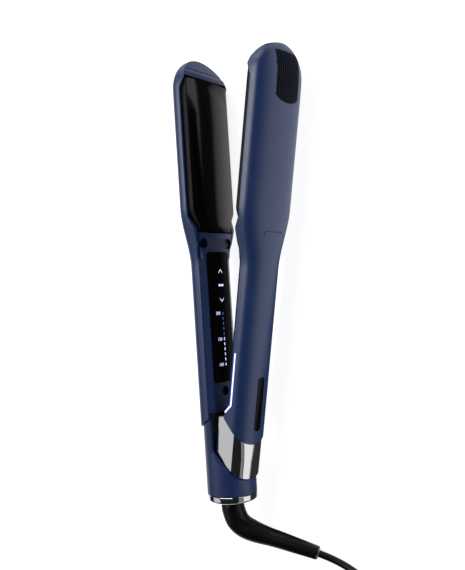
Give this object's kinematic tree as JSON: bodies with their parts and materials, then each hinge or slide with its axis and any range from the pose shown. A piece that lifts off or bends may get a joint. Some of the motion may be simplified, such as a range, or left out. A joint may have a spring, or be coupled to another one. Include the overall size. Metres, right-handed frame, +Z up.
{
  "type": "flat iron",
  "caption": "Wide-plate hair straightening iron with two sprung arms hinged beside the cord, floating heated plates, a touch panel and a swivel cord.",
  "frame": {"origin": "centre of the iron's footprint on the table, cord left out", "axes": "+Y along the base arm from the cord end to the tips, +Z up from the table the iron lies on, +X from the base arm towards the moving arm"},
  "size_m": [0.1549, 0.4215, 0.045],
  "materials": {
    "navy": "soft touch satin",
    "grip": "ribbed matt",
    "plate": "coated gloss",
    "gloss": "gloss",
    "chrome": "polished",
    "pin_metal": "satin",
    "steel": "satin",
    "dark_steel": "blackened",
    "bronze": "satin",
    "ceramic": "fired ceramic",
    "sensor": "film",
    "silicone": "matt",
    "heatproof": "matt",
    "board": "satin",
    "light": "lit light guide",
    "rubber": "satin"
  },
  "bodies": {
    "base_arm": {"base_shell": "navy", "base_inner_cover": "navy", "base_plate_frame": "heatproof", "base_tip_grip": "grip", "control_panel": "gloss", "control_board": "board", "hinge_collar": "navy", "end_ring": "chrome", "swivel_bush": "bronze", "hinge_pin": "steel", "hinge_spring": "steel", "base_screw_1": "dark_steel", "base_screw_2": "dark_steel", "base_screw_3": "dark_steel", "cord_lead": "rubber", "cord_coil": "rubber", "cord_tail": "rubber", "cord_tie": "silicone", "plug_body": "rubber", "plug_pin_1": "pin_metal", "plug_pin_2": "pin_metal"},
    "moving_arm": {"moving_shell": "navy", "moving_inner_cover": "navy", "moving_plate_frame": "heatproof", "moving_tip_grip": "grip", "badge": "gloss", "light_strip": "light", "power_board": "board", "hinge_sleeve": "chrome", "hinge_knuckle": "steel", "moving_screw_1": "dark_steel", "moving_screw_2": "dark_steel", "moving_screw_3": "dark_steel"},
    "base_plate_unit": {"base_plate": "plate", "base_heater": "ceramic", "base_heater_clamp": "steel", "base_heat_sensor": "sensor", "base_float_pad_lower": "silicone", "base_float_pad_upper": "silicone"},
    "moving_plate_unit": {"moving_plate": "plate", "moving_heater": "ceramic", "moving_heater_clamp": "steel", "moving_heat_sensor": "sensor", "moving_float_pad_lower": "silicone", "moving_float_pad_upper": "silicone"},
    "swivel": {"swivel_spindle": "heatproof", "strain_relief": "rubber"}
  },
  "joints": [
    {"name": "arm_hinge", "type": "hinge", "parent": "base_arm", "child": "moving_arm", "pos_m": [-0.0242, -0.1169, 0.0225], "axis": [0, 0, 1], "range_deg": [0, 11], "stiffness_Nm_per_rad": 0.6, "springref_deg": -17.19, "deforming": ["hinge_spring"]},
    {"name": "cord_swivel", "type": "hinge", "parent": "base_arm", "child": "swivel", "pos_m": [-0.0242, -0.1169, 0.0225], "axis": [0, -1, 0], "continuous": true},
    {"name": "base_plate_float", "type": "slide", "parent": "base_arm", "child": "base_plate_unit", "axis": [-1, 0, 0], "range_m": [0, 0.0008], "stiffness_N_per_m": 4000},
    {"name": "moving_plate_float", "type": "slide", "parent": "moving_arm", "child": "moving_plate_unit", "axis": [0.9816, -0.1908, 0], "range_m": [0, 0.0008], "stiffness_N_per_m": 4000}
  ]
}
